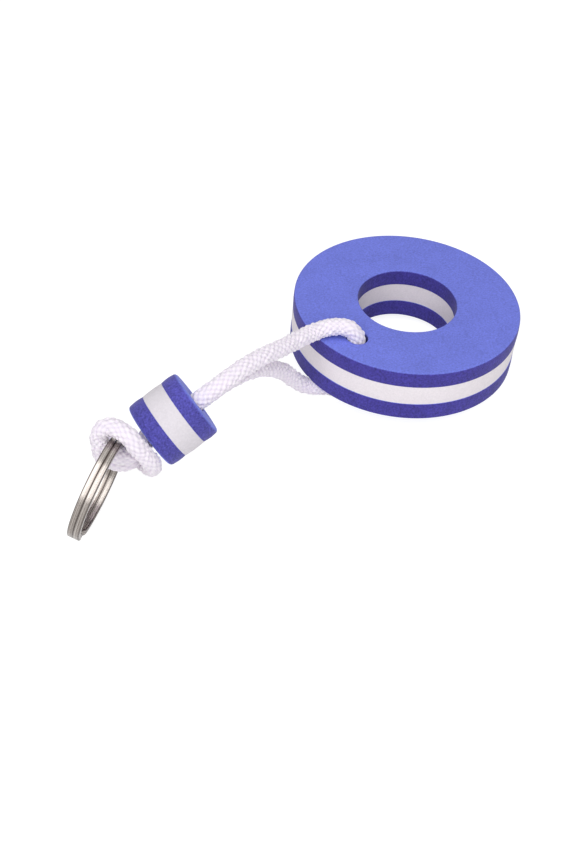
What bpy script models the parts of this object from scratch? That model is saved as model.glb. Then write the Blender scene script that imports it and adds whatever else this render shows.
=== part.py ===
"""
Floating keychain: a die-cut foam float, a foam bead, a braided cord and a split ring.

The float and the bead are cut from the same laminate of three bonded foam sheets. One length of cord
goes up through the float, doubles back through the bead and ties onto the split ring with a cow hitch.

Frame: +X runs from the ring to the float, +Z is up, and the floor is Z = 0. The origin is on the
floor under the middle of the box round the float, the bead and the ring. Sizes are in metres.
"""
import bpy
import bmesh
from math import cos, pi, radians, sin
from mathutils import Matrix, Vector

# Foam laminate, from the underside up
LAYER_BOTTOM = 0.0056
LAYER_CORE = 0.0062
LAYER_TOP = 0.0051
GLUE_LINE = 0.0003

# Float
FLOAT_RADIUS = 0.035
FLOAT_HOLE_RADIUS = 0.01525
FLOAT_CENTRE = (0.04319, 0.00169)
FLOAT_TILT = radians(4.84)
DIE_CUT_ROUNDING = 0.0004

# Bead, cut across the same laminate with a smaller punch and squeezed a little by the cord
BEAD_RADIUS = 0.0100
BEAD_LENGTH = 0.0162
BEAD_CORE_SHARE = 0.39
BEAD_OUTER_SHARE = 0.315
BEAD_CENTRE = (-0.04168, -0.01783, 0.0240)
BEAD_PITCH = radians(25.5)
BORE_ROLL = radians(40.0)

# Cord
CORD_DIAMETER = 0.0055
CORD_CLEARANCE = 0.0003
STRAND_SPACING = CORD_DIAMETER + CORD_CLEARANCE
MOUTH_LEAD = 0.0012

# Split ring, wound from flat wire in two turns
RING_OUTER_RADIUS = 0.0154
WIRE_WIDTH = 0.0020
WIRE_THICKNESS = 0.0016
COIL_GAP = 0.0003
WIRE_EDGE = 0.0004
RING_CENTRE = (-0.06729, -0.02438)
RING_HEADING = radians(-44.76)
RING_LEAN = radians(17.40)
JOGGLE_ANGLE = radians(26.0)
JOGGLE_AT = radians(340.0)
END_GAP = radians(1.5)

# Cow hitch: where it sits round the ring, and how far it has swung round the wire
HITCH_AT = radians(117.63)
HITCH_SWING = radians(15.82)

# The cord's own points, in millimetres. First from one mouth of the bead round the wire and back to the
# other, in the hitch's frame
MM = 0.001
HITCH = [(6.0, -4.4, 1.1), (4.7, -3.9, -1.6), (3.3, -3.6, -4.2), (0.7, -3.8, -5.3), (-2.4, -4.3, -4.9),
         (-4.8, -5.4, -3.6), (-5.6, -7.2, -1.4), (-4.5, -9.1, 0.7), (-2.2, -10.4, 1.5),
         (0.8, -10.6, 0.7), (3.5, -10.3, -0.6), (5.8, -9.6, -2.3), (7.9, -8.1, -3.9),
         (9.3, -5.6, -4.9), (9.5, -2.7, -5.3), (9.5, 0.3, -5.4), (9.2, 3.3, -5.4), (8.0, 6.0, -4.9),
         (6.3, 8.3, -3.9), (4.5, 10.5, -2.9), (2.5, 12.0, -1.4), (-0.2, 12.1, 0.0), (-3.0, 11.3, 0.6),
         (-5.0, 9.5, -0.2), (-5.6, 7.1, -2.1), (-4.5, 5.1, -3.8), (-2.0, 3.8, -4.7), (1.0, 3.0, -4.9),
         (3.5, 2.3, -3.8), (5.1, 1.9, -1.3), (5.8, 1.6, 0.0)]

# The loop through the float, from under the middle of the float
STRAND_OVER = [(-74.0, -21.3, 31.5), (-69.0, -20.4, 32.9), (-62.9, -18.3, 33.2), (-55.5, -15.2, 32.0),
               (-48.5, -12.0, 29.6), (-42.4, -9.0, 27.6), (-36.4, -6.5, 26.1), (-31.0, -5.8, 25.8),
               (-27.0, -7.0, 26.1), (-23.9, -9.0, 25.5)]
THROUGH_FLOAT = [(-22.1, -10.3, 22.5), (-21.9, -10.6, 18.5), (-22.2, -10.6, 12.0), (-22.5, -10.6, 7.0)]
STRAND_UNDER = [(-22.9, -10.4, 4.8), (-24.0, -9.8, 3.5), (-25.7, -9.0, 3.0), (-28.5, -7.6, 2.9),
                (-32.2, -5.8, 3.0), (-36.0, -4.4, 4.1), (-39.6, -4.1, 7.6), (-43.3, -5.1, 12.8), (-48.0, -7.3, 18.0),
                (-54.5, -10.4, 23.4), (-61.5, -14.0, 26.9), (-67.5, -16.3, 28.0), (-72.2, -17.4, 27.3)]

FLOAT_STEPS = 96
BEAD_STEPS = 64
RING_STEPS = 60
CORD_SPACING = 2.0
CORD_TURN = radians(20.0)


def collection(name):
    """Returns a new collection linked to the scene."""
    made = bpy.data.collections.new(name)
    bpy.context.scene.collection.children.link(made)
    return made


def material(name, colour, roughness, metallic=0.0):
    """Makes a plain Principled material."""
    made = bpy.data.materials.new(name)
    made.use_nodes = True
    shader = made.node_tree.nodes["Principled BSDF"]
    shader.inputs["Base Color"].default_value = (*colour, 1.0)
    shader.inputs["Roughness"].default_value = roughness
    shader.inputs["Metallic"].default_value = metallic
    made.diffuse_color = (*colour, 1.0)
    return made


def place(name, data, home, look=None, matrix=None):
    """Makes an object from mesh or curve data in the collection home."""
    made = bpy.data.objects.new(name, data)
    home.objects.link(made)
    if look is not None:
        data.materials.append(look)
    if matrix is not None:
        made.matrix_world = matrix
    return made


def guide(item):
    """Marks an object as a cutter or a guide."""
    item.hide_render = True
    item.display_type = "WIRE"
    return item


def as_mesh(item):
    """Turns a curve object into a welded mesh object with the same name and place."""
    bpy.context.view_layer.update()
    evaluated = item.evaluated_get(bpy.context.evaluated_depsgraph_get())
    mesh = bpy.data.meshes.new_from_object(evaluated)
    work = bmesh.new()
    work.from_mesh(mesh)
    bmesh.ops.remove_doubles(work, verts=work.verts, dist=1e-6)
    bmesh.ops.recalc_face_normals(work, faces=work.faces)
    work.to_mesh(mesh)
    work.free()
    mesh.name = item.data.name
    name, home, matrix = item.name, item.users_collection[0], item.matrix_world.copy()
    bpy.data.objects.remove(item)
    return place(name, mesh, home, matrix=matrix)


def cut(item, cutter):
    """Cuts item with cutter."""
    modifier = item.modifiers.new("cut " + cutter.name, "BOOLEAN")
    modifier.object = cutter
    modifier.operation = "DIFFERENCE"
    modifier.solver = "EXACT"


def disc(name, home, look, outer, inner, low, high, steps, rounding=0.0):
    """Turns a flat ring, or a disc where inner is 0, between two heights on its own Z axis."""
    if inner > 0:
        corners = [(inner, low), (inner, high), (outer - rounding, high), (outer, high - rounding),
                   (outer, low + rounding), (outer - rounding, low)]
    else:
        corners = [(0.0, high), (outer - rounding, high), (outer, high - rounding),
                   (outer, low + rounding), (outer - rounding, low), (0.0, low)]
    mesh = bpy.data.meshes.new(name)
    work = bmesh.new()
    verts = [work.verts.new((radius, 0.0, height)) for radius, height in corners]
    for start, end in zip(verts, verts[1:]):
        work.edges.new((start, end))
    if inner > 0:
        work.edges.new((verts[-1], verts[0]))
    work.to_mesh(mesh)
    work.free()
    made = place(name, mesh, home, look)
    turned = made.modifiers.new("turn", "SCREW")
    turned.steps = steps
    turned.render_steps = steps
    turned.use_merge_vertices = True
    turned.merge_threshold = 0.00001
    turned.use_normal_calculate = True
    return made


def smooth_route(points, knots=40):
    """Reads a centripetal Catmull-Rom curve through the points, finely and evenly in each span."""
    fine = []
    padded = [points[0] * 2 - points[1]] + points + [points[-1] * 2 - points[-2]]
    for a, b, c, d in zip(padded, padded[1:], padded[2:], padded[3:]):
        t1 = (b - a).length ** 0.5
        t2 = t1 + (c - b).length ** 0.5
        t3 = t2 + (d - c).length ** 0.5
        for step in range(knots):
            t = t1 + (t2 - t1) * step / knots
            p = a * ((t1 - t) / t1) + b * (t / t1)
            q = b * ((t2 - t) / (t2 - t1)) + c * ((t - t1) / (t2 - t1))
            r = c * ((t3 - t) / (t3 - t2)) + d * ((t - t2) / (t3 - t2))
            s = p * ((t2 - t) / t2) + q * (t / t2)
            u = q * ((t3 - t) / (t3 - t1)) + r * ((t - t1) / (t3 - t1))
            fine.append(s * ((t2 - t) / (t2 - t1)) + u * ((t - t1) / (t2 - t1)))
    return fine + [points[-1]]


def thin_out(fine, widest, most_turn):
    """Picks points along a fine route, closer together where it bends."""
    picked = [fine[0]]
    since = 0.0
    turned = 0.0
    for before, here, after in zip(fine, fine[1:], fine[2:]):
        since += (here - before).length
        turned += (here - before).angle(after - here, 0.0)
        if since >= widest or turned >= most_turn:
            picked.append(here)
            since = 0.0
            turned = 0.0
    if since < 0.2 * widest and turned < 0.5 * most_turn and len(picked) > 1:
        picked.pop()
    return picked + [fine[-1]]


def tube(name, home, points, radius, resolution, look=None):
    """Makes a round tube with filled caps along the points."""
    curve = bpy.data.curves.new(name, "CURVE")
    curve.dimensions = "3D"
    curve.bevel_depth = radius
    curve.bevel_resolution = resolution
    curve.use_fill_caps = True
    spline = curve.splines.new("POLY")
    spline.points.add(len(points) - 1)
    for knot, point in zip(spline.points, points):
        knot.co = (*point, 1.0)
    return place(name, curve, home, look)


def outline(name, home, corners, depth=0.0):
    """Makes a closed flat curve, filled and extruded by depth each way if depth is given."""
    curve = bpy.data.curves.new(name, "CURVE")
    curve.dimensions = "2D"
    spline = curve.splines.new("POLY")
    spline.points.add(len(corners) - 1)
    for knot, corner in zip(spline.points, corners):
        knot.co = (corner[0], corner[1], 0.0, 1.0)
    spline.use_cyclic_u = True
    if depth:
        curve.fill_mode = "BOTH"
        curve.extrude = depth
    return place(name, curve, home)


def main():
    for item in list(bpy.data.objects):
        bpy.data.objects.remove(item)
    home = collection("floating_keychain")
    cutters = collection("cutters")
    blue = material("blue_foam", (0.11, 0.12, 0.56), 0.85)
    white = material("white_foam", (0.78, 0.74, 0.78), 0.85)
    braid = material("white_cord", (0.85, 0.82, 0.86), 0.80)
    steel = material("nickel_steel", (0.62, 0.58, 0.54), 0.25, 1.0)

    # Float: tipped about Y, so its rim towards +X is on the floor
    float_place = (Matrix.Translation((*FLOAT_CENTRE, FLOAT_RADIUS * sin(FLOAT_TILT)))
                   @ Matrix.Rotation(FLOAT_TILT, 4, "Y"))
    core_low = LAYER_BOTTOM + GLUE_LINE
    core_high = core_low + LAYER_CORE
    top_low = core_high + GLUE_LINE
    sheets = [("float_bottom_layer", 0.0, LAYER_BOTTOM, blue),
              ("float_core_layer", core_low, core_high, white),
              ("float_top_layer", top_low, top_low + LAYER_TOP, blue)]
    floats = []
    for name, low, high, look in sheets:
        layer = disc(name, home, look, FLOAT_RADIUS, FLOAT_HOLE_RADIUS, low, high, FLOAT_STEPS,
                     DIE_CUT_ROUNDING)
        layer.matrix_world = float_place
        floats.append(layer)

    # Bead: its own Z axis points at the float
    bead_place = (Matrix.Translation(BEAD_CENTRE)
                  @ Matrix.Rotation(pi / 2 - BEAD_PITCH, 4, "Y"))
    foam = BEAD_LENGTH - 2 * GLUE_LINE
    first = -BEAD_LENGTH / 2
    second = first + foam * BEAD_OUTER_SHARE
    third = second + GLUE_LINE + foam * BEAD_CORE_SHARE
    slices = [("bead_ring_side_layer", first, second, blue),
              ("bead_core_layer", second + GLUE_LINE, third, white),
              ("bead_float_side_layer", third + GLUE_LINE, BEAD_LENGTH / 2, blue)]
    beads = []
    for name, low, high, look in slices:
        layer = disc(name, home, look, BEAD_RADIUS, 0.0, low, high, BEAD_STEPS, DIE_CUT_ROUNDING)
        layer.matrix_world = bead_place
        beads.append(layer)

    # Bore: an oblong hole that hugs the two strands lying side by side
    bore_radius = CORD_DIAMETER / 2 + CORD_CLEARANCE
    rim = []
    for side in (1, -1):
        for step in range(17):
            turn = -pi / 2 + pi * step / 16
            rim.append((side * (STRAND_SPACING / 2 + bore_radius * cos(turn)), side * bore_radius * sin(turn)))
    bore = outline("bead_bore", cutters, rim, BEAD_LENGTH)
    bore.matrix_world = bead_place @ Matrix.Rotation(pi + BORE_ROLL, 4, "Z")
    bore = guide(as_mesh(bore))
    for layer in beads:
        cut(layer, bore)

    # Split ring: flat wire whose second turn lies on the first, with a joggle between the two ends
    pitch = WIRE_THICKNESS + COIL_GAP
    coil_radius = RING_OUTER_RADIUS - WIRE_WIDTH / 2
    stack = pitch + WIRE_THICKNESS
    ring_height = RING_OUTER_RADIUS * cos(RING_LEAN) + stack / 2 * sin(RING_LEAN)
    ring_place = (Matrix.Translation((*RING_CENTRE, ring_height))
                  @ Matrix.Rotation(RING_HEADING, 4, "Z")
                  @ Matrix.Rotation(pi / 2 + RING_LEAN, 4, "Y"))
    half_width, half_height = WIRE_WIDTH / 2, WIRE_THICKNESS / 2
    section = []
    for across, up in ((1, 1), (-1, 1), (-1, -1), (1, -1)):
        near = (across * half_width, up * (half_height - WIRE_EDGE))
        far = (across * (half_width - WIRE_EDGE), up * half_height)
        section += [near, far] if across * up > 0 else [far, near]
    profile = guide(outline("wire_section", cutters, section))
    wire = bpy.data.curves.new("split_ring", "CURVE")
    wire.dimensions = "3D"
    wire.twist_mode = "Z_UP"
    wire.bevel_mode = "OBJECT"
    wire.bevel_object = profile
    wire.use_fill_caps = True
    spline = wire.splines.new("POLY")
    total = 4 * pi - JOGGLE_ANGLE - END_GAP
    turns = 2 * RING_STEPS
    spline.points.add(turns)
    for step, knot in enumerate(spline.points):
        turn = total * step / turns
        climb = (turn - (2 * pi - JOGGLE_ANGLE)) / (JOGGLE_ANGLE - END_GAP)
        climb = min(max(climb, 0.0), 1.0)
        climb = climb * climb * (3 - 2 * climb)
        angle = JOGGLE_AT + turn
        knot.co = (coil_radius * cos(angle), coil_radius * sin(angle), pitch * (climb - 0.5), 1.0)
    ring = as_mesh(place("split_ring", wire, home, steel, ring_place))
    ring.data.shade_smooth()
    ring.data.set_sharp_from_angle(angle=radians(40))

    # Cow hitch, in its own frame: S leaves for the bead, T runs along the wire, F faces outward
    turned = ring_place.to_3x3()
    outward = turned @ Vector((cos(HITCH_AT), sin(HITCH_AT), 0.0))
    normal = turned @ Vector((0.0, 0.0, 1.0))
    along = normal.cross(outward)
    leaves = normal * cos(HITCH_SWING) + outward * sin(HITCH_SWING)
    faces = along.cross(leaves)
    knot = ring_place.translation + outward * coil_radius

    def in_knot(point):
        """Takes a point of the hitch from its own frame, in millimetres, to the part's frame."""
        s, t, f = (value * MM for value in point)
        return knot + leaves * s + along * t + faces * f

    def in_bead(side, height):
        """Gives the point at a height along one of the two strands in the bore."""
        return (bead_place @ Matrix.Rotation(pi + BORE_ROLL, 4, "Z")
                @ Vector((side * STRAND_SPACING / 2, 0.0, height)))

    # The cord's whole route, from one hidden end in the bore to the other
    floor_point = Vector((*FLOAT_CENTRE, 0.0))
    end = BEAD_LENGTH / 2
    middle = CORD_CLEARANCE / 2
    lead = end + MOUTH_LEAD
    knot_lead = end + MOUTH_LEAD / 2
    tie = [in_bead(-1, -middle), in_bead(-1, -end), in_bead(-1, -knot_lead)]
    tie += [in_knot(point) for point in HITCH]
    tie += [in_bead(1, -knot_lead), in_bead(1, -end), in_bead(1, 0.0)]
    loop = [in_bead(1, end), in_bead(1, lead)]
    loop += [floor_point + Vector(point) * MM for point in STRAND_OVER]
    loop += [floor_point + Vector(point) * MM for point in THROUGH_FLOAT]
    loop += [floor_point + Vector(point) * MM for point in STRAND_UNDER]
    loop += [in_bead(-1, lead), in_bead(-1, end), in_bead(-1, middle)]
    route = thin_out(smooth_route(tie + loop), CORD_SPACING * CORD_DIAMETER, CORD_TURN)
    tube("cord", home, route, CORD_DIAMETER / 2, 4, braid)

    # Cord hole and the dents that the cord presses into the float's two faces
    across = [floor_point + Vector(point) * MM for point in STRAND_OVER + THROUGH_FLOAT + STRAND_UNDER]
    dent = thin_out(smooth_route(across), CORD_SPACING * CORD_DIAMETER, CORD_TURN)
    dent = guide(as_mesh(tube("cord_hole", cutters, dent, CORD_DIAMETER / 2 + CORD_CLEARANCE, 4)))
    for layer in floats:
        cut(layer, dent)


main()
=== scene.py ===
# %% [markdown]
# # A floating keychain, built as a lesson
# The object is a keychain that keeps a small key afloat: a round foam float with a hole through it, a
# foam bead, one length of braided cord, and a split ring. The imported CAD model is loaded first. It gives
# every piece its place in metres, and each cell below dresses one piece with the surface that the real
# one shows. The CAD box is kept.

# %% Load the frame
import math
import bpy
import numpy as np
from mathutils import Matrix


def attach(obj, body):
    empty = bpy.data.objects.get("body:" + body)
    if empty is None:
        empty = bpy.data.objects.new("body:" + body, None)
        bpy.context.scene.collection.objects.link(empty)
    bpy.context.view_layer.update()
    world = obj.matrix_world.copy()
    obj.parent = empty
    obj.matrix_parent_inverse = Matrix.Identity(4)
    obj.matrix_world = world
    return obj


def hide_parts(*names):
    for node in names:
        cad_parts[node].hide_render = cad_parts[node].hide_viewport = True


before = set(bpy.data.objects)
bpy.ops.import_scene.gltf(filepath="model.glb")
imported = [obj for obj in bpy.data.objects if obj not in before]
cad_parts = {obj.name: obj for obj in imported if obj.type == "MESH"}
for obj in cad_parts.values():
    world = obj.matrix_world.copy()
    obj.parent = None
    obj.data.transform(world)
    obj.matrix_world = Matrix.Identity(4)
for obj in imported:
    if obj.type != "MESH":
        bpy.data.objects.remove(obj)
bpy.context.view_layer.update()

# %% [markdown]
# ## Sizes and places
# The same named sizes as the solids have, in metres. The foam is one laminate of three sheets. The bead is
# punched from the same laminate, and the ring is wound from flat wire in two turns. The place of each piece
# is a 4 by 4 matrix, put together from the turns and shifts that would bring the real piece there by hand.

# %% Sizes of the foam, the cord and the ring
MM = 0.001
LAYER_BOTTOM, LAYER_CORE, LAYER_TOP, GLUE_LINE = 0.0056, 0.0062, 0.0051, 0.0003
FLOAT_RADIUS, FLOAT_HOLE_RADIUS = 0.035, 0.01525
FLOAT_CENTRE, FLOAT_TILT = (0.04319, 0.00169), math.radians(4.84)
BEAD_RADIUS, BEAD_LENGTH = 0.0100, 0.0162
BEAD_OUTER_SHARE, BEAD_CORE_SHARE = 0.315, 0.39
BEAD_CENTRE = (-0.04168, -0.01783, 0.0240)
BEAD_PITCH, BORE_ROLL = math.radians(25.5), math.radians(40.0)
CORD_DIAMETER, CORD_CLEARANCE, MOUTH_LEAD = 0.0055, 0.0003, 0.0012
STRAND_SPACING = CORD_DIAMETER + CORD_CLEARANCE
RING_OUTER_RADIUS, WIRE_WIDTH, WIRE_THICKNESS, COIL_GAP = 0.0154, 0.0020, 0.0016, 0.0003
RING_CENTRE = (-0.06729, -0.02438)
RING_HEADING, RING_LEAN = math.radians(-44.76), math.radians(17.40)
JOGGLE_ANGLE, JOGGLE_AT, END_GAP = math.radians(26.0), math.radians(340.0), math.radians(1.5)
HITCH_AT, HITCH_SWING = math.radians(117.63), math.radians(15.82)
print("float", 2 * FLOAT_RADIUS, "bead", 2 * BEAD_RADIUS, "ring", 2 * RING_OUTER_RADIUS, "m across")


# %% Places of the pieces
def turned(axis, angle):
    """Rotation of space by angle about the axis named X, Y or Z, as a 4 by 4 array."""
    return np.array(Matrix.Rotation(angle, 4, axis))


def moved(place):
    """Shift of space by place, as a 4 by 4 array."""
    return np.array(Matrix.Translation(place))


def carried(matrix, points):
    """Takes points from a piece's own frame to the object's: M p + t, for the whole array at once."""
    return np.asarray(points, float) @ matrix[:3, :3].T + matrix[:3, 3]


float_place = moved((*FLOAT_CENTRE, FLOAT_RADIUS * math.sin(FLOAT_TILT))) @ turned("Y", FLOAT_TILT)
bead_place = moved(BEAD_CENTRE) @ turned("Y", math.pi / 2 - BEAD_PITCH)
bore_place = bead_place @ turned("Z", math.pi + BORE_ROLL)
pitch = WIRE_THICKNESS + COIL_GAP
coil_radius = RING_OUTER_RADIUS - WIRE_WIDTH / 2
ring_height = RING_OUTER_RADIUS * math.cos(RING_LEAN) + (pitch + WIRE_THICKNESS) / 2 * math.sin(RING_LEAN)
ring_place = (moved((*RING_CENTRE, ring_height)) @ turned("Z", RING_HEADING)
              @ turned("Y", math.pi / 2 + RING_LEAN))
print("float tilted", round(math.degrees(FLOAT_TILT), 2), "ring centre", np.round(ring_place[:3, 3], 4))

# %% [markdown]
# ## Camera
# The photograph looks down at forty five degrees and a little from the ring's side. A camera is an object
# that looks along its own -Z, so its matrix can be written down from the line of sight: the third column is
# the line of sight turned round, the first is level, and the second is their cross product. A lamp looks the
# same way as a camera does, so this step is a function that the lamp will use too.

# %% Camera
EYE = np.array((-0.13161, -0.26934, 0.28459))
SIGHT = np.array((0.31534, 0.63248, -0.70748))
LENS, SENSOR_WIDTH = 55.97, 36.0


def looking(place, sight):
    """Matrix of a thing at place that looks along sight: its columns are level, upward and backward."""
    sight = sight / np.linalg.norm(sight)
    level = np.cross(sight, (0.0, 0.0, 1.0))
    level /= np.linalg.norm(level)
    matrix = np.eye(4)
    matrix[:3, :3] = np.stack([level, np.cross(level, sight), -sight], axis=1)
    matrix[:3, 3] = place
    return matrix


def put_object(name, data, matrix=None):
    """Puts data into the scene as an object, at the origin or where the matrix says."""
    made = bpy.data.objects.new(name, data)
    if matrix is not None:
        made.matrix_world = Matrix(matrix.tolist())
    bpy.context.scene.collection.objects.link(made)
    return made


camera_data = bpy.data.cameras.new("camera")
camera_data.lens, camera_data.sensor_width = LENS, SENSOR_WIDTH
bpy.context.scene.camera = put_object("camera", camera_data, looking(EYE, SIGHT))
print("camera", round(float(np.linalg.norm(EYE - (*FLOAT_CENTRE, 0))), 3), "m from the float")

# %% [markdown]
# ## From arrays to a mesh
# Every piece here is a surface worked out as an array of points on a grid, rows along the piece and columns
# round it. One helper turns such a grid into quads, and the columns close round. Another writes the arrays
# into a mesh in one go, which is far quicker than adding vertices one by one. A closed surface can be tested
# for which way its faces look: the sum over its triangles of each corner triple product is six times its
# volume, and it is positive only where the faces look out. A cut needs that, because it takes what lies
# inside the cutter out of what lies inside the piece.


# %% Grid helpers
def signed_volume(mesh):
    """Sixth of the sum of a . (b x c) over all triangles."""
    mesh.calc_loop_triangles()
    corners = np.empty(len(mesh.loop_triangles) * 3, np.int32)
    mesh.loop_triangles.foreach_get("vertices", corners)
    points = np.empty(len(mesh.vertices) * 3)
    mesh.vertices.foreach_get("co", points)
    tri = points.reshape(-1, 3)[corners].reshape(-1, 3, 3)
    return float(np.einsum("ij,ij->i", tri[:, 0], np.cross(tri[:, 1], tri[:, 2])).sum() / 6)


def put_mesh(name, points, faces, sharp=None):
    """Makes a mesh object from points and faces, smooth shaded, with its faces turned to look out."""
    mesh = bpy.data.meshes.new(name)
    mesh.from_pydata(np.asarray(points).tolist(), [], faces)
    mesh.validate()
    if signed_volume(mesh) < 0:
        mesh.flip_normals()
    mesh.shade_smooth()
    if sharp is not None:
        mesh.set_sharp_from_angle(angle=sharp)
    return put_object(name, mesh)


def grid_faces(rows, columns, close_rows=False):
    """Quads of a grid whose columns close round: cell (i, j) joins i, i+1 and j, j+1, both taken round."""
    i, j = np.meshgrid(np.arange(rows if close_rows else rows - 1), np.arange(columns), indexing="ij")
    up, on = (i + 1) % rows, (j + 1) % columns
    quads = [i * columns + j, i * columns + on, up * columns + on, up * columns + j]
    return np.stack(quads, -1).reshape(-1, 4)


def tube_faces(rows, columns):
    """Faces of a tube with flat ends: the grid's quads, the first row taken backwards, and the last row."""
    first = np.arange(columns)
    last = first + (rows - 1) * columns
    return grid_faces(rows, columns).tolist() + [first[::-1].tolist(), last.tolist()]


def keep_on_points(mesh, title, values):
    """Stores a number or a vector on every point of a mesh, for the material to read by its title."""
    kind, key = ("FLOAT", "value") if values.ndim == 1 else ("FLOAT_VECTOR", "vector")
    layer = mesh.attributes.new(title, kind, "POINT")
    layer.data.foreach_set(key, values.astype(np.float32).ravel())


print("a grid of 3 rows and 4 columns has", len(grid_faces(3, 4)), "quads")

# %% [markdown]
# ## The cord's route
# The real cord is one length: both ends meet inside the bead, where nobody sees them. From there it goes to
# the ring, ties a cow hitch on it, comes back through the bead, crosses the float's rim, dives through a
# small hole and returns under the float. Rope can't be placed by eye, so the route is a list of points,
# the same as the solid's, with a smooth curve through them. A centripetal Catmull-Rom curve passes through
# every point and doesn't overshoot where points lie close together.

# %% Points of the route, in millimetres
hitch = np.array([(6.0, -4.4, 1.1), (4.7, -3.9, -1.6), (3.3, -3.6, -4.2), (0.7, -3.8, -5.3),
                  (-2.4, -4.3, -4.9), (-4.8, -5.4, -3.6), (-5.6, -7.2, -1.4), (-4.5, -9.1, 0.7),
                  (-2.2, -10.4, 1.5), (0.8, -10.6, 0.7), (3.5, -10.3, -0.6), (5.8, -9.6, -2.3),
                  (7.9, -8.1, -3.9), (9.3, -5.6, -4.9), (9.5, -2.7, -5.3), (9.5, 0.3, -5.4),
                  (9.2, 3.3, -5.4), (8.0, 6.0, -4.9), (6.3, 8.3, -3.9), (4.5, 10.5, -2.9),
                  (2.5, 12.0, -1.4), (-0.2, 12.1, 0.0), (-3.0, 11.3, 0.6), (-5.0, 9.5, -0.2),
                  (-5.6, 7.1, -2.1), (-4.5, 5.1, -3.8), (-2.0, 3.8, -4.7), (1.0, 3.0, -4.9),
                  (3.5, 2.3, -3.8), (5.1, 1.9, -1.3), (5.8, 1.6, 0.0)])
strand_over = np.array([(-74.0, -21.3, 31.5), (-69.0, -20.4, 32.9), (-62.9, -18.3, 33.2),
                        (-55.5, -15.2, 32.0), (-48.5, -12.0, 29.6), (-42.4, -9.0, 27.6), (-36.4, -6.5, 26.1),
                        (-31.0, -5.8, 25.8), (-27.0, -7.0, 26.1), (-23.9, -9.0, 25.5)])
through_float = np.array([(-22.1, -10.3, 22.5), (-21.9, -10.6, 18.5), (-22.2, -10.6, 12.0),
                          (-22.5, -10.6, 7.0)])
strand_under = np.array([(-22.9, -10.4, 4.8), (-24.0, -9.8, 3.5), (-25.7, -9.0, 3.0), (-28.5, -7.6, 2.9),
                         (-32.2, -5.8, 3.0), (-36.0, -4.4, 4.1), (-39.6, -4.1, 7.6), (-43.3, -5.1, 12.8),
                         (-48.0, -7.3, 18.0), (-54.5, -10.4, 23.4), (-61.5, -14.0, 26.9),
                         (-67.5, -16.3, 28.0), (-72.2, -17.4, 27.3)])

outward = ring_place[:3, :3] @ (math.cos(HITCH_AT), math.sin(HITCH_AT), 0.0)
ring_axis = ring_place[:3, 2]
along_wire = np.cross(ring_axis, outward)
leaves = ring_axis * math.cos(HITCH_SWING) + outward * math.sin(HITCH_SWING)
knot_frame = np.eye(4)
knot_frame[:3, :3] = np.stack([leaves, along_wire, np.cross(along_wire, leaves)], axis=1)
knot_frame[:3, 3] = ring_place[:3, 3] + outward * coil_radius


def in_knot(points):
    """Points given in millimetres in the knot's own frame: away from the ring, along its wire, and outward."""
    return carried(knot_frame, points * MM)


def in_bore(side, *heights):
    """Points at these heights on one of the two strands in the bead's bore."""
    return carried(bore_place, [(side * STRAND_SPACING / 2, 0.0, height) for height in heights])


def over_floor(points):
    """Points given in millimetres from the floor under the float's middle."""
    return points * MM + (*FLOAT_CENTRE, 0.0)


end, middle = BEAD_LENGTH / 2, CORD_CLEARANCE / 2
lead, knot_lead = end + MOUTH_LEAD, end + MOUTH_LEAD / 2
float_loop = over_floor(np.concatenate([strand_over, through_float, strand_under]))
route_points = np.concatenate([
    in_bore(-1, -middle, -end, -knot_lead), in_knot(hitch), in_bore(1, -knot_lead, -end, 0.0, end, lead),
    float_loop, in_bore(-1, lead, end, middle)])
print("route:", len(route_points), "points,", len(hitch), "of them in the knot")


# %% Smooth curve through the points
def smooth_route(points, knots=40):
    """Catmull-Rom curve: each span blends the lines through its four nearest points, weighted by the
    square roots of their distances. All spans are worked out together, knots samples in each."""
    padded = np.vstack([2 * points[0] - points[1], points, 2 * points[-1] - points[-2]])
    a, b, c, d = (padded[k:len(padded) - 3 + k, None, :] for k in range(4))
    root = lambda p, q: np.linalg.norm(q - p, axis=2, keepdims=True) ** 0.5
    t1 = root(a, b)
    t2 = t1 + root(b, c)
    t3 = t2 + root(c, d)
    t = t1 + (t2 - t1) * (np.arange(knots) / knots)[None, :, None]
    p = a * (t1 - t) / t1 + b * t / t1
    q = b * (t2 - t) / (t2 - t1) + c * (t - t1) / (t2 - t1)
    r = c * (t3 - t) / (t3 - t2) + d * (t - t2) / (t3 - t2)
    s = p * (t2 - t) / t2 + q * t / t2
    u = q * (t3 - t) / (t3 - t1) + r * (t - t1) / (t3 - t1)
    spans = s * (t2 - t) / (t2 - t1) + u * (t - t1) / (t2 - t1)
    return np.vstack([spans.reshape(-1, 3), points[-1:]])


def even_stations(points, spacing):
    """Reads a fine polyline at even distances: each coordinate is interpolated over the length so far."""
    so_far = np.concatenate([[0.0], np.cumsum(np.linalg.norm(np.diff(points, axis=0), axis=1))])
    steps = int(round(so_far[-1] / spacing))
    at = np.linspace(0.0, so_far[-1], steps + 1)
    return np.stack([np.interp(at, so_far, points[:, k]) for k in range(3)], axis=1)


fine_route = smooth_route(route_points)

# %% [markdown]
# ## Braid
# The cord is a braid of sixteen soft strands, eight winding each way, and each passes over one and under the
# next. It could be a plain tube with a bump map, but then its outline stays straight, and the photograph
# shows a knobbly outline. So the surface itself is woven: round the cord and along it, each strand is an
# arch that rises where it goes over and sinks where it goes under, and the higher of the two strands shows.
# No two stitches of a soft braid are alike, so each strand and each stitch is a little higher or lower than
# the next. A frame carried along the curve without twisting keeps the braid from spinning in the knot.

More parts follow.
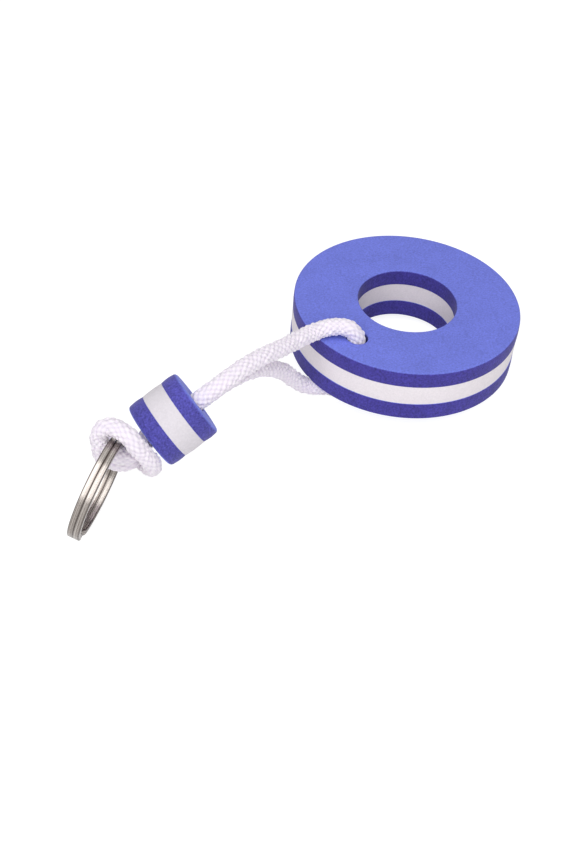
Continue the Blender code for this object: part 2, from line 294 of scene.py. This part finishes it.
# %% Height of the weave
STRANDS, BRAID_LAY, FINE_ROWS, FINE_COLUMNS = 16, 0.0170, 4, 5
STRAND_ARCH, STRAND_WEAVE, CORD_CORE = 0.00052, 0.00028, 0.00191
STITCH_CHANGE, STRAND_CHANGE, WANDER = 0.00014, 0.00005, 0.30
WAVES, SHORTEST_WAVE, LONGEST_WAVE = 4, 5.0, 14.0
BRAID_SEED = 3


def strand_heights(a, b):
    """Height of the weave at column a and row b, both counted in strands. A strand one way keeps a - b,
    and one the other way keeps a + b: its arch is 1 - 0.75 x squared over its own width, and a cosine
    along it lifts it over one crossing and sinks it under the next. The higher of the two shows. Each strand
    and each stitch has its own seeded change of height, which fades out at the stitch's border, and a sum of
    slow waves shifts the whole net a little, so that its rows aren't ruled."""
    draw = np.random.default_rng(BRAID_SEED)
    phases = draw.uniform(0, 2 * np.pi, (2, WAVES))
    lengths = draw.uniform(SHORTEST_WAVE, LONGEST_WAVE, (2, WAVES))
    round_it, along = 2 * np.pi * a / STRANDS, 2 * np.pi * b
    shift_a, shift_b = (WANDER / 2 * sum(np.cos((k % 3) * round_it + along / length + phase)
                                         for k, length, phase in zip(range(1, WAVES + 1), *row))
                        for row in zip(lengths, phases))
    a, b = a + shift_a, b + shift_b
    here, there = (a - b) / 2, (a + b) / 2
    m, n = np.round(here).astype(int), np.round(there).astype(int)
    x, y = 2 * (here - m), 2 * (there - n)
    half = STRANDS // 2
    strand_change = draw.uniform(-STRAND_CHANGE, STRAND_CHANGE, (2, half))
    stitch_change = draw.uniform(-STITCH_CHANGE, STITCH_CHANGE, (int(b.max()) + 8, half))
    swell = stitch_change[n - m + 3, m % half] * (1 - x * x) * (1 - y * y)
    first = STRAND_ARCH * (1 - 0.75 * x * x) + STRAND_WEAVE * np.cos(np.pi * (there + m))
    second = STRAND_ARCH * (1 - 0.75 * y * y) - STRAND_WEAVE * np.cos(np.pi * (here + n))
    first += strand_change[0, m % half] * (1 - x * x) + swell
    second += strand_change[1, n % half] * (1 - y * y) + swell
    return first, second, x, y


cord_path = even_stations(fine_route, BRAID_LAY / STRANDS / FINE_ROWS)
cord_rows, cord_columns = len(cord_path), STRANDS * FINE_COLUMNS
b, a = np.meshgrid(np.arange(cord_rows) / FINE_ROWS, np.arange(cord_columns) / FINE_COLUMNS, indexing="ij")
first, second, x, y = strand_heights(a, b)
top = np.maximum(first, second)
print("weave between", round(float(top.min()) * 1000, 2), "and", round(float(top.max()) * 1000, 2), "mm high")

# %% Woven surface of the cord
EDGE_FADE = 0.00016


def untwisted_frame(path):
    """Side and up at each station of a path. Up is carried from one station to the next by taking off its
    part along the new tangent, so it never turns about the path, and side is tangent x up."""
    tangent = np.gradient(path, axis=0)
    tangent /= np.linalg.norm(tangent, axis=1, keepdims=True)
    up = np.zeros_like(path)
    last = np.cross(tangent[0], (0.0, 0.0, 1.0))
    for k, t in enumerate(tangent):
        last = last - t * (last @ t)
        last /= np.linalg.norm(last)
        up[k] = last
    return np.cross(tangent, up), up


def fan_faces(rows, columns):
    """Triangles from a middle point to each end's rim: the two middle points follow the grid's points."""
    j = np.arange(columns)
    on, last, middle = (j + 1) % columns, (rows - 1) * columns, np.full(columns, rows * columns)
    return np.stack([middle, on, j], 1).tolist() + np.stack([middle + 1, j + last, on + last], 1).tolist()


cord_side, cord_up = untwisted_frame(cord_path)
angle = a * 2 * np.pi / STRANDS
radius = CORD_CORE + top
rim = cord_side[:, None] * np.cos(angle)[..., None] + cord_up[:, None] * np.sin(angle)[..., None]
skin = cord_path[:, None] + rim * radius[..., None]
cord_object = put_mesh("braided_cord", np.vstack([skin.reshape(-1, 3), cord_path[:1], cord_path[-1:]]),
                       grid_faces(cord_rows, cord_columns).tolist() + fan_faces(cord_rows, cord_columns))
hollow = np.clip(1 - (top - top.min()) / (top.max() - top.min()), 0, 1)
across_strand = np.where(first > second, x, y)
clear_of_edge = np.clip(np.abs(first - second) / EDGE_FADE, 0, 1)
for title, values in (("hollow", hollow), ("across_strand", across_strand), ("clear_of_edge", clear_of_edge)):
    keep_on_points(cord_object.data, title, np.concatenate([values.reshape(-1), [0.5, 0.5]]))
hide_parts("cord")
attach(cord_object, "float_and_cord")
print("braid:", cord_rows, "rows of", cord_columns, "points, widest",
      round(float(radius.max()) * 2000, 2), "mm")

# %% [markdown]
# ## Foam float
# The float is die-cut from a laminate of three foam sheets, blue, white and blue. A cut edge is never quite
# straight: the punch squeezes the foam, so each sheet bulges a little between the glue lines, and the rim
# wanders by a tenth of a millimetre. So each sheet is a profile turned round the axis, with that wander in
# its radius, and the cord's own tube is cut out of it for the dents that the cord presses. The cord's hole is
# punched a little wider than the cord, which is pulled to one side and leaves a dark crescent on the other.

# %% Profile of a foam sheet, turned round
SKIN_ROUND, BEAD_ROUND, SEAM_ROUND = 0.0005, 0.0009, 0.00012
SHEET_BULGE, CORE_BULGE, BEAD_BULGE = 0.00008, 0.00012, 0.00015
FLOAT_WANDER, BEAD_WANDER = 0.00004, 0.00005
FLOAT_STEPS, BEAD_STEPS = 192, 128


def layer_profile(outer, inner, low, high, round_top, round_low, bulge, count=14):
    """Closed outline of a sheet of foam, as radius and height: up the outer edge, in over the top, down the
    inner edge and back below. The edges bulge as a half sine, and a corner is a quarter circle where
    it is round."""
    def corner(cx, cz, r, start):
        t = start + np.linspace(0.0, np.pi / 2, 6)
        return np.stack([cx + r * np.cos(t), cz + r * np.sin(t)], axis=1)

    def wall(r, z0, z1, way):
        s = np.linspace(0, 1, count + 2)[1:-1]
        return np.stack([r + way * bulge * np.sin(np.pi * s), z0 + (z1 - z0) * s], axis=1)

    def flat(r0, r1, z):
        s = np.linspace(0, 1, count + 2)[1:-1]
        return np.stack([r0 + (r1 - r0) * s, np.full(count, z)], axis=1)

    return np.vstack([
        wall(outer, low + round_low, high - round_top, 1.0),
        corner(outer - round_top, high - round_top, round_top, 0.0),
        flat(outer - round_top, inner + round_top, high),
        corner(inner + round_top, high - round_top, round_top, np.pi / 2),
        wall(inner, high - round_top, low + round_low, -1.0),
        corner(inner + round_low, low + round_low, round_low, np.pi),
        flat(inner + round_low, outer - round_low, low),
        corner(outer - round_low, low + round_low, round_low, 1.5 * np.pi)])


def turned_sheet(name, profile, steps, wander, place, seed):
    """Turns a closed profile (r, z) round Z: x = r cos t, y = r sin t. The radius wanders with t as a sum
    of a few cosines with seeded phases. The profile runs against the grid's order, so each quad is
    listed backwards."""
    draw = np.random.default_rng(seed)
    t = np.arange(steps) * 2 * np.pi / steps
    orders = np.arange(2, 9)
    phases = draw.uniform(0, 2 * np.pi, len(orders))
    wave = (np.cos(orders[:, None] * t + phases[:, None]) / orders[:, None]).sum(0)
    r = profile[:, 0][:, None] + wander * wave[None, :]
    z = np.repeat(profile[:, 1][:, None], steps, axis=1)
    points = np.stack([r * np.cos(t), r * np.sin(t), z], axis=-1).reshape(-1, 3)
    faces = grid_faces(len(profile), steps, close_rows=True)[:, ::-1]
    return put_mesh(name, carried(place, points), faces.tolist())


seam_low = LAYER_BOTTOM + GLUE_LINE / 2
seam_high = LAYER_BOTTOM + GLUE_LINE + LAYER_CORE + GLUE_LINE / 2
float_top = LAYER_BOTTOM + LAYER_CORE + LAYER_TOP + 2 * GLUE_LINE
print("float:", round(float_top * 1000, 2), "mm thick, seams at", round(seam_low * 1000, 2), "and",
      round(seam_high * 1000, 2), "mm")

# %% Float with the cord's hole and dents
SHARP_EDGE = math.radians(35)
CORE_INSET, DENT_CLEARANCE, DENT_STEP = 0.0001, 0.00008, 0.0012
PUNCH_TOP, PUNCH_END, PUNCH_STATIONS = (-22.05, -10.35, 28.0), (-21.95, -10.6, 9.0), 9
PUNCH_SHIFT = np.array((0.00027, -0.00013, 0.0))


def put_tube(name, path, radius, columns):
    """Round tube with flat ends: path + radius (side cos t + up sin t)."""
    side, up = untwisted_frame(path)
    t = np.arange(columns) * 2 * np.pi / columns
    rim = side[:, None] * np.cos(t)[None, :, None] + up[:, None] * np.sin(t)[None, :, None]
    return put_mesh(name, (path[:, None] + rim * radius).reshape(-1, 3), tube_faces(len(path), columns))


def cut_out(target, cutter):
    """Cuts the cutter out of the target with an exact Boolean, and keeps the result in the mesh."""
    modifier = target.modifiers.new("cut", "BOOLEAN")
    modifier.object, modifier.operation, modifier.solver = cutter, "DIFFERENCE", "EXACT"
    bpy.context.view_layer.update()
    result = bpy.data.meshes.new_from_object(target.evaluated_get(bpy.context.evaluated_depsgraph_get()))
    target.modifiers.clear()
    old, target.data = target.data, result
    bpy.data.meshes.remove(old)
    target.data.shade_smooth()
    target.data.set_sharp_from_angle(angle=SHARP_EDGE)


foam_pieces = {}


def dress_layer(layer, piece, cutters):
    """Cuts a turned sheet and lets it stand for its layer of foam."""
    for cutter in cutters:
        cut_out(piece, cutter)
    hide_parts(layer)
    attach(piece, "float_and_cord")
    foam_pieces[layer] = piece
    print(piece.name, round(signed_volume(piece.data) * 1e6, 2), "cubic cm of foam")


core_outer, core_inner = FLOAT_RADIUS - CORE_INSET, FLOAT_HOLE_RADIUS + CORE_INSET
float_profiles = {
    "float_bottom_layer": layer_profile(FLOAT_RADIUS, FLOAT_HOLE_RADIUS, 0.0, seam_low,
                                        SEAM_ROUND, SKIN_ROUND, SHEET_BULGE),
    "float_core_layer": layer_profile(core_outer, core_inner, seam_low, seam_high,
                                      SEAM_ROUND, SEAM_ROUND, CORE_BULGE),
    "float_top_layer": layer_profile(FLOAT_RADIUS, FLOAT_HOLE_RADIUS, seam_high, float_top,
                                     SKIN_ROUND, SEAM_ROUND, SHEET_BULGE)}
cord_hole = put_tube("cord_hole", even_stations(smooth_route(float_loop), DENT_STEP),
                     CORD_DIAMETER / 2 + DENT_CLEARANCE, columns=24)
punch = put_tube("punch", over_floor(np.linspace(PUNCH_TOP, PUNCH_END, PUNCH_STATIONS)) + PUNCH_SHIFT,
                 CORD_DIAMETER / 2 + CORD_CLEARANCE, columns=40)
for seed, (layer, profile) in enumerate(float_profiles.items()):
    sheet = turned_sheet(layer + "_foam", profile, FLOAT_STEPS, FLOAT_WANDER, float_place, seed)
    dress_layer(layer, sheet, (cord_hole, punch))
bpy.data.objects.remove(cord_hole)
bpy.data.objects.remove(punch)

# %% [markdown]
# ## Foam bead
# The bead is punched from the same laminate and slid along both strands, so its sheets stand across the cord.
# Two strands side by side need an oblong hole. The hole is cut with a prism of that outline, a
# rectangle between two half circles, as the punch in the workshop would be.

# %% Bead with its oblong bore
AXIS_HOLE, BORE_CLEARANCE, BEAD_SEED = 0.0012, 0.0001, 10
foam_length = BEAD_LENGTH - 2 * GLUE_LINE
first_seam = -BEAD_LENGTH / 2 + foam_length * BEAD_OUTER_SHARE + GLUE_LINE / 2
second_seam = first_seam + foam_length * BEAD_CORE_SHARE + GLUE_LINE
bead_sheets = {
    "bead_ring_side_layer": (-BEAD_LENGTH / 2, first_seam, SEAM_ROUND, BEAD_ROUND),
    "bead_core_layer": (first_seam, second_seam, SEAM_ROUND, SEAM_ROUND),
    "bead_float_side_layer": (second_seam, BEAD_LENGTH / 2, BEAD_ROUND, SEAM_ROUND)}
t = np.linspace(-np.pi / 2, np.pi / 2, 17)
bore_radius = CORD_DIAMETER / 2 + BORE_CLEARANCE
half_circle = np.stack([STRAND_SPACING / 2 + bore_radius * np.cos(t), bore_radius * np.sin(t)], axis=1)
oblong = np.vstack([half_circle, -half_circle])
levels = np.linspace(-BEAD_LENGTH, BEAD_LENGTH, 9)
prism = np.empty((len(levels), len(oblong), 3))
prism[..., :2], prism[..., 2] = oblong, levels[:, None]
bead_bore = put_mesh("bead_bore", carried(bore_place, prism.reshape(-1, 3)),
                     tube_faces(len(levels), len(oblong)))
for seed, (layer, (low, high, round_top, round_low)) in enumerate(bead_sheets.items(), BEAD_SEED):
    profile = layer_profile(BEAD_RADIUS, AXIS_HOLE, low, high, round_top, round_low, BEAD_BULGE)
    sheet = turned_sheet(layer + "_foam", profile, BEAD_STEPS, BEAD_WANDER, bead_place, seed)
    dress_layer(layer, sheet, (bead_bore,))
bpy.data.objects.remove(bead_bore)

# %% [markdown]
# ## Split ring
# A split ring is flat spring wire wound in two turns that lie on each other. A joggle lifts the wire by its
# own thickness between the two ends, so the ends come to lie flush. The wire has a flat section with
# soft edges, so the ring is that section carried along the coil, and its ends are cut off square. The solid
# leaves a gap between the turns. Here the inner face of each turn is moved past the middle of that gap, so
# the two turns run into each other by the length that this cell prints, and the dark line between them is
# the groove of their soft edges, which also carry painted shade. On the real ring the turns only touch.
# Each point also keeps its place round the section and along the wire, for the lines that the drawing die
# leaves and the painted reflections drawn along them.

# %% Section of the wire
CORNER, NEAR_STEP, FLAT_STEP = 0.00032, 0.00008, 0.0003
EDGE_SHARE = 0.35


def wire_section(width, height, corner, steps=6):
    """Outline of a flat wire, counterclockwise: four quarter circles joined by straight sides, with points
    close to each quarter circle that keep the sides flat. Also tells how near a corner each point is."""
    t = np.linspace(0.0, np.pi / 2, steps)
    bend = np.sin(np.linspace(0.5, np.pi - 0.5, steps))
    outline, nearness = [], []
    for quarter, (sx, sy) in enumerate(((1, 1), (-1, 1), (-1, -1), (1, -1))):
        centre = np.array((sx * (width / 2 - corner), sy * (height / 2 - corner)))
        turn = t + quarter * np.pi / 2
        arc = centre + corner * np.stack([np.cos(turn), np.sin(turn)], axis=1)
        before = np.array(((0, 1), (-1, 0), (0, -1), (1, 0))[quarter], float)
        after = np.array(((-1, 0), (0, -1), (1, 0), (0, 1))[quarter], float)
        outline += [arc[:1] - before * NEAR_STEP, arc, arc[-1:] + after * NEAR_STEP,
                    arc[-1:] + after * FLAT_STEP]
        nearness += [EDGE_SHARE, *bend, EDGE_SHARE, 0.0]
    return np.vstack(outline), np.array(nearness)


section, corner_share = wire_section(WIRE_WIDTH, WIRE_THICKNESS, CORNER)
wire_columns = len(section)
print("wire section:", wire_columns, "points")

# %% Coil of flat wire
RING_ROWS, INNER_FACE_SHIFT, RING_SHARP = 720, 0.00024, math.radians(75)
STREAK_WIDTH, STREAK_LENGTH = 0.00026, 0.030
turn = np.linspace(0.0, 4 * np.pi - JOGGLE_ANGLE - END_GAP, RING_ROWS)
climb = np.clip((turn - (2 * np.pi - JOGGLE_ANGLE)) / (JOGGLE_ANGLE - END_GAP), 0, 1)
climb = climb ** 2 * (3 - 2 * climb)
ring_angle = JOGGLE_AT + turn
reach = coil_radius + section[None, :, 0]
to_middle = np.where(section[:, 1] > 0, 1 - climb[:, None], -climb[:, None]) * INNER_FACE_SHIFT
coil = np.stack([reach * np.cos(ring_angle)[:, None], reach * np.sin(ring_angle)[:, None],
                 (pitch * (climb - 0.5))[:, None] + section[None, :, 1] + to_middle], axis=-1).reshape(-1, 3)
coil_faces = [face[::-1] for face in tube_faces(RING_ROWS, wire_columns)]
ring_object = put_mesh("split_ring_wire", carried(ring_place, coil), coil_faces, sharp=RING_SHARP)
around = np.cumsum(np.linalg.norm(np.diff(section, axis=0, prepend=section[:1]), axis=1))
streak_place = np.zeros((RING_ROWS, wire_columns, 3))
streak_place[..., 0] = around / STREAK_WIDTH
streak_place[..., 1] = (turn * coil_radius / STREAK_LENGTH)[:, None]
keep_on_points(ring_object.data, "streak_place", streak_place)
keep_on_points(ring_object.data, "near_corner", np.tile(corner_share, RING_ROWS))
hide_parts("split_ring")
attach(ring_object, "ring")
print("ring:", RING_ROWS, "stations,", round(2000 * RING_OUTER_RADIUS, 1), "mm across, turns overlap by",
      round((2 * INNER_FACE_SHIFT - COIL_GAP) * 1000, 2), "mm")

# %% [markdown]
# ## Foam finish
# Closed-cell foam is matt and full of tiny cells. Its skin is paler and smoother, and where the die has cut
# it the cells are open and the colour is deeper. One node group makes both: fine cells for the
# bump, and a grit for the colour that is stronger on cut faces. Each point of a sheet keeps how far its face
# leans away from the sheet's own axis, and that tells skin from cut. The cells lie in Object coordinates, so
# they run on round the corner from one face to the next.


# %% Node helpers
def node(tree, kind, links=(), **values):
    """Adds a node, sets its plain properties, and sets or links its inputs given as (socket, value)."""
    made = tree.nodes.new(kind)
    for title, value in values.items():
        setattr(made, title, value)
    for socket, value in links:
        if isinstance(value, bpy.types.NodeSocket):
            tree.links.new(value, made.inputs[socket])
        else:
            made.inputs[socket].default_value = value
    return made


def reckoned(tree, operation, *inputs):
    """Output of a Math node on the inputs, given in order."""
    return node(tree, "ShaderNodeMath", enumerate(inputs), operation=operation).outputs[0]


def ranged(tree, value, low, high, to_low=0.0, to_high=1.0, curve="LINEAR"):
    """Value stretched so that low becomes to_low and high becomes to_high, and held between the two."""
    links = [("Value", value), ("From Min", low), ("From Max", high), ("To Min", to_low), ("To Max", to_high)]
    return node(tree, "ShaderNodeMapRange", links, interpolation_type=curve).outputs[0]


def blended(tree, factor, first, second):
    """Mix of two colours: first where the factor is 0, second where it is 1."""
    links = [("Factor", factor), (6, first), (7, second)]
    return node(tree, "ShaderNodeMix", links, data_type="RGBA").outputs[2]


def clouds(tree, place, scale, detail, roughness=0.5):
    """Noise between 0 and 1, with scale clouds to each unit of place."""
    links = [("Vector", place), ("Scale", scale), ("Detail", detail), ("Roughness", roughness)]
    return node(tree, "ShaderNodeTexNoise", links).outputs[0]


def kept(tree, title, output="Fac"):
    """What the mesh keeps on its points under this title."""
    return node(tree, "ShaderNodeAttribute", attribute_name=title).outputs[output]


def start_material(name, plain):
    """Starts a Principled material, with plain holding the values that are the same all over."""
    made = bpy.data.materials.new(name)
    made.use_nodes = True
    shader = made.node_tree.nodes["Principled BSDF"]
    for title, value in plain.items():
        shader.inputs[title].default_value = value
    return made, made.node_tree, shader


print("node helpers ready")

# %% The foam group
GRIT_SCALE, PATCH_SCALE, PATCH_SHARE, CUT_GRIT = 1700.0, 130.0, 0.22, 1.2
foam_group = bpy.data.node_groups.new("foam_cells", "ShaderNodeTree")
for title, kind, value in (("Skin Colour", "NodeSocketColor", (1, 1, 1, 1)),
                           ("Cut Colour", "NodeSocketColor", (1, 1, 1, 1)),
                           ("Cut", "NodeSocketFloat", 0.0), ("Cell Scale", "NodeSocketFloat", 2600.0),
                           ("Mottle", "NodeSocketFloat", 0.12)):
    foam_group.interface.new_socket(name=title, in_out="INPUT", socket_type=kind).default_value = value
for title, kind in (("Colour", "NodeSocketColor"), ("Height", "NodeSocketFloat")):
    foam_group.interface.new_socket(name=title, in_out="OUTPUT", socket_type=kind)
given = foam_group.nodes.new("NodeGroupInput").outputs
place_in = node(foam_group, "ShaderNodeTexCoord").outputs["Object"]
cells = node(foam_group, "ShaderNodeTexVoronoi", [("Vector", place_in), ("Scale", given["Cell Scale"])],
             feature="SMOOTH_F1").outputs["Distance"]
grit = clouds(foam_group, place_in, GRIT_SCALE, detail=4.0, roughness=0.65)
patch = clouds(foam_group, place_in, PATCH_SCALE, detail=3.0)
both = reckoned(foam_group, "ADD", grit, reckoned(foam_group, "MULTIPLY", patch, PATCH_SHARE))
swing = ranged(foam_group, both, low=0.36, high=0.86, to_low=-1.0, to_high=1.0)
open_cells = reckoned(foam_group, "MULTIPLY_ADD", given["Cut"], CUT_GRIT, 1.0)
strong = reckoned(foam_group, "MULTIPLY", open_cells, given["Mottle"])
bright = reckoned(foam_group, "ADD", reckoned(foam_group, "MULTIPLY", swing, strong), 1.0)
base = blended(foam_group, given["Cut"], given["Skin Colour"], given["Cut Colour"])
shaded = node(foam_group, "ShaderNodeVectorMath", [(0, base), ("Scale", bright)], operation="SCALE")
node(foam_group, "NodeGroupOutput", [("Colour", shaded.outputs[0]),
                                     ("Height", reckoned(foam_group, "ADD", cells, grit))])
print("group foam_cells:", len(foam_group.nodes), "nodes")

# %% [markdown]
# ## Foam colours
# The float and the bead are cut from the same two foams, yet each of the two has its own blue and white,
# and all four use the one group. The float's cut blue is made darker as painted shade on its cut sides, so the
# bead's cut edge is paler than the float's, and a little grittier. The bead's white is greyer as painted shade
# that evens out the stronger light falling on the bead.

# %% Foam materials
FOAM_ROUGHNESS, FOAM_GLOSS, SHEEN_SPREAD = 0.85, 0.3, 0.5
CELL_STRENGTH, CELL_DEPTH = 0.5, 0.00012
CUT_FROM, CUT_WIDTH = 0.15, 0.5


def foam_material(name, skin, cut, sheen, mottle):
    """Matt foam whose skin faces look along the sheet's own axis and whose cut faces look across it."""
    made, tree, shader = start_material(name, {
        "Roughness": FOAM_ROUGHNESS, "Specular IOR Level": FOAM_GLOSS,
        "Sheen Weight": sheen, "Sheen Roughness": SHEEN_SPREAD})
    finish = node(tree, "ShaderNodeGroup", node_tree=foam_group)
    finish.inputs["Skin Colour"].default_value = (*skin, 1.0)
    finish.inputs["Cut Colour"].default_value = (*cut, 1.0)
    finish.inputs["Mottle"].default_value = mottle
    tree.links.new(kept(tree, "cut_face"), finish.inputs["Cut"])
    bump = node(tree, "ShaderNodeBump", [("Strength", CELL_STRENGTH), ("Distance", CELL_DEPTH),
                                         ("Height", finish.outputs["Height"])])
    tree.links.new(finish.outputs["Colour"], shader.inputs["Base Color"])
    tree.links.new(bump.outputs[0], shader.inputs["Normal"])
    return made


def mark_cut_faces(mesh, axis):
    """Stores 1 on each point whose normal leans away from the sheet's axis and 0 where it lies along it:
    smoothstep of one less the cosine between them."""
    normals = np.empty(len(mesh.vertices) * 3, np.float32)
    mesh.vertices.foreach_get("normal", normals)
    lean = 1 - np.abs(normals.reshape(-1, 3) @ axis)
    s = np.clip((lean - CUT_FROM) / CUT_WIDTH, 0, 1)
    keep_on_points(mesh, "cut_face", s * s * (3 - 2 * s))


# The float's cut colour is darkened as painted shade on the float's sides.
float_blue = foam_material("float_blue_foam", skin=(0.152, 0.185, 0.670), cut=(0.048, 0.037, 0.276),
                           sheen=0.10, mottle=0.26)
bead_blue = foam_material("bead_blue_foam", skin=(0.164, 0.200, 0.710), cut=(0.071, 0.064, 0.340),
                          sheen=0.12, mottle=0.27)
float_white = foam_material("float_white_foam", skin=(0.79, 0.74, 0.78), cut=(0.785, 0.735, 0.77),
                            sheen=0.05, mottle=0.03)
# The bead's white is greyer as painted shade against the stronger light on the bead.
bead_white = foam_material("bead_white_foam", skin=(0.69, 0.66, 0.70), cut=(0.685, 0.65, 0.695),
                           sheen=0.05, mottle=0.03)
looks = {"float": (float_place, float_blue, float_white), "bead": (bead_place, bead_blue, bead_white)}
for layer, piece in foam_pieces.items():
    place, blue, white = looks[layer.split("_")[0]]
    mark_cut_faces(piece.data, place[:3, 2])
    piece.data.materials.clear()
    piece.data.materials.append(white if "core" in layer else blue)
    print(piece.name, "is", piece.data.materials[0].name)

# %% [markdown]
# ## Cord finish
# The cord is polypropylene yarn: white with a lilac tint, matt, a little see-through at the edges of the
# strands, and greyer only in the hollows between them, where that grey is painted shade. Fine filament lines
# run along each strand and fade where it dives under the next. The mesh carries how deep each point lies, how
# far across its strand it is, and how clear it is of the strand's edge, so the material can draw them all.

# %% Cord material
# The second colour is painted shade for the hollows between the strands.
YARN_WHITE, HOLLOW_SHADE_COLOUR = (0.90, 0.838, 0.912, 1), (0.765, 0.703, 0.82, 1)
FILAMENTS, FILAMENT_STRENGTH, FILAMENT_DEPTH = 22.0, 0.35, 0.00005
cord_finish, tree, shader = start_material("white_cord_finish", {
    "Roughness": 0.75, "Specular IOR Level": 0.3, "Subsurface Weight": 0.35,
    "Subsurface Radius": (1.0, 0.9, 1.0), "Subsurface Scale": 0.0008,
    "Sheen Weight": 0.2, "Sheen Roughness": 0.4})
filament = reckoned(tree, "SINE", reckoned(tree, "MULTIPLY", kept(tree, "across_strand"), FILAMENTS))
filament = reckoned(tree, "MULTIPLY", filament, kept(tree, "clear_of_edge"))
# Painted shade: the deeper a point lies between the strands, the more of the grey hollow colour it takes.
deep = ranged(tree, kept(tree, "hollow"), 0.25, 1.0, curve="SMOOTHSTEP")
thread_bump = node(tree, "ShaderNodeBump", [("Strength", FILAMENT_STRENGTH), ("Distance", FILAMENT_DEPTH),
                                            ("Height", filament)])
tree.links.new(blended(tree, deep, YARN_WHITE, HOLLOW_SHADE_COLOUR), shader.inputs["Base Color"])
tree.links.new(thread_bump.outputs[0], shader.inputs["Normal"])
cord_object.data.materials.append(cord_finish)
print("cord finish:", len(tree.nodes), "nodes")

# %% [markdown]
# ## Ring finish
# The ring is nickel-plated steel: warm grey and smooth, with lines along the wire. The lines are partly from
# the drawing die and partly painted reflection, dark and light, and the corners are darkened with painted
# shade. The lines are noise stretched along the wire, so they follow it round and don't lie across it.

# %% Ring material
# The dark and light plate colours are partly die lines and partly painted reflection; the corner colour is
# painted shade.
PLATE_DARK, PLATE_LIGHT = (0.17, 0.135, 0.118, 1), (0.70, 0.655, 0.615, 1)
CORNER_SHADE_COLOUR, CORNER_SHARE = (0.07, 0.055, 0.05, 1), 0.88
STREAK_STRENGTH, STREAK_DEPTH = 0.3, 0.00003
ring_finish, tree, shader = start_material("nickel_steel_finish", {"Metallic": 1.0})
where = node(tree, "ShaderNodeTexCoord").outputs["Object"]
streak = clouds(tree, kept(tree, "streak_place", "Vector"), scale=1.0, detail=2.0, roughness=0.6)
scratch = clouds(tree, where, scale=900.0, detail=6.0, roughness=0.7)
gloss = ranged(tree, scratch, low=0.3, high=0.7, to_low=0.16, to_high=0.34)
die_lines_and_reflections = ranged(tree, streak, low=0.34, high=0.66, curve="SMOOTHSTEP")
# Painted shade: the rounded edges of the wire are darkened.
painted_edge_shade = reckoned(tree, "MULTIPLY", kept(tree, "near_corner"), CORNER_SHARE)
metal = blended(tree, painted_edge_shade, blended(tree, die_lines_and_reflections, PLATE_DARK, PLATE_LIGHT), CORNER_SHADE_COLOUR)
streak_bump = node(tree, "ShaderNodeBump", [("Strength", STREAK_STRENGTH), ("Distance", STREAK_DEPTH),
                                            ("Height", streak)])
tree.links.new(metal, shader.inputs["Base Color"])
tree.links.new(gloss, shader.inputs["Roughness"])
tree.links.new(streak_bump.outputs[0], shader.inputs["Normal"])
ring_object.data.materials.append(ring_finish)
print("ring finish:", len(tree.nodes), "nodes")

# %% [markdown]
# ## Floor and light
# The photograph has a white background with hardly any shadow. A white floor under an even sky does that.
# The camera sees the floor mostly as a plain white and for the rest as a lit surface, so it stays white and
# still keeps a trace of the object's shadow. One large soft lamp, high above and towards the viewer, gives
# the foam its form and reaches into the float's hole.

# %% Floor
FLOOR_REACH, FLOOR_COLOUR = 1.5, (0.96, 0.96, 0.96, 1)
PLAIN_SHARE, PLAIN_STRENGTH = 0.72, 1.22
corners = [(-FLOOR_REACH, -FLOOR_REACH, 0.0), (FLOOR_REACH, -FLOOR_REACH, 0.0),
           (FLOOR_REACH, FLOOR_REACH, 0.0), (-FLOOR_REACH, FLOOR_REACH, 0.0)]
floor_mesh = bpy.data.meshes.new("floor")
floor_mesh.from_pydata(corners, [], [(0, 1, 2, 3)])
floor = put_object("floor", floor_mesh)
floor_paint = bpy.data.materials.new("white_floor")
floor_paint.use_nodes = True
tree = floor_paint.node_tree
tree.nodes.clear()
matt = node(tree, "ShaderNodeBsdfDiffuse", [("Color", FLOOR_COLOUR)])
plain = node(tree, "ShaderNodeEmission", [("Color", (1, 1, 1, 1)), ("Strength", PLAIN_STRENGTH)])
to_camera = node(tree, "ShaderNodeLightPath").outputs["Is Camera Ray"]
seen = reckoned(tree, "MULTIPLY", to_camera, PLAIN_SHARE)
floor_mix = node(tree, "ShaderNodeMixShader", [(0, seen), (1, matt.outputs[0]), (2, plain.outputs[0])])
node(tree, "ShaderNodeOutputMaterial", [("Surface", floor_mix.outputs[0])])
floor_mesh.materials.append(floor_paint)
print("floor", 2 * FLOOR_REACH, "m wide")

# %% Sky and lamp
SKY_ON_OBJECT, SKY_IN_VIEW = 0.38, 1.0
LAMP_FROM, LAMP_SIDE, LAMP_POWER = np.array((-0.42, -0.66, 1.28)), 2.2, 28.0
world = bpy.data.worlds.new("sky")
bpy.context.scene.world = world
world.use_nodes = True
tree = world.node_tree
tree.nodes.clear()
ray = node(tree, "ShaderNodeLightPath").outputs
straight = reckoned(tree, "MAXIMUM", ray["Is Camera Ray"], ray["Is Glossy Ray"])
straight = reckoned(tree, "MAXIMUM", straight, ray["Is Transmission Ray"])
strength = ranged(tree, straight, 0.0, 1.0, SKY_ON_OBJECT, SKY_IN_VIEW)
sky = node(tree, "ShaderNodeBackground", [("Color", (1, 1, 1, 1)), ("Strength", strength)])
node(tree, "ShaderNodeOutputWorld", [("Surface", sky.outputs[0])])

lamp_data = bpy.data.lights.new("soft_lamp", "AREA")
lamp_data.shape, lamp_data.size, lamp_data.size_y = "RECTANGLE", LAMP_SIDE, LAMP_SIDE
lamp_data.energy = LAMP_POWER
put_object("soft_lamp", lamp_data, looking(LAMP_FROM, -LAMP_FROM))
bpy.context.scene.view_settings.view_transform = "Standard"
print("lamp", LAMP_POWER, "W,", LAMP_SIDE, "m wide")
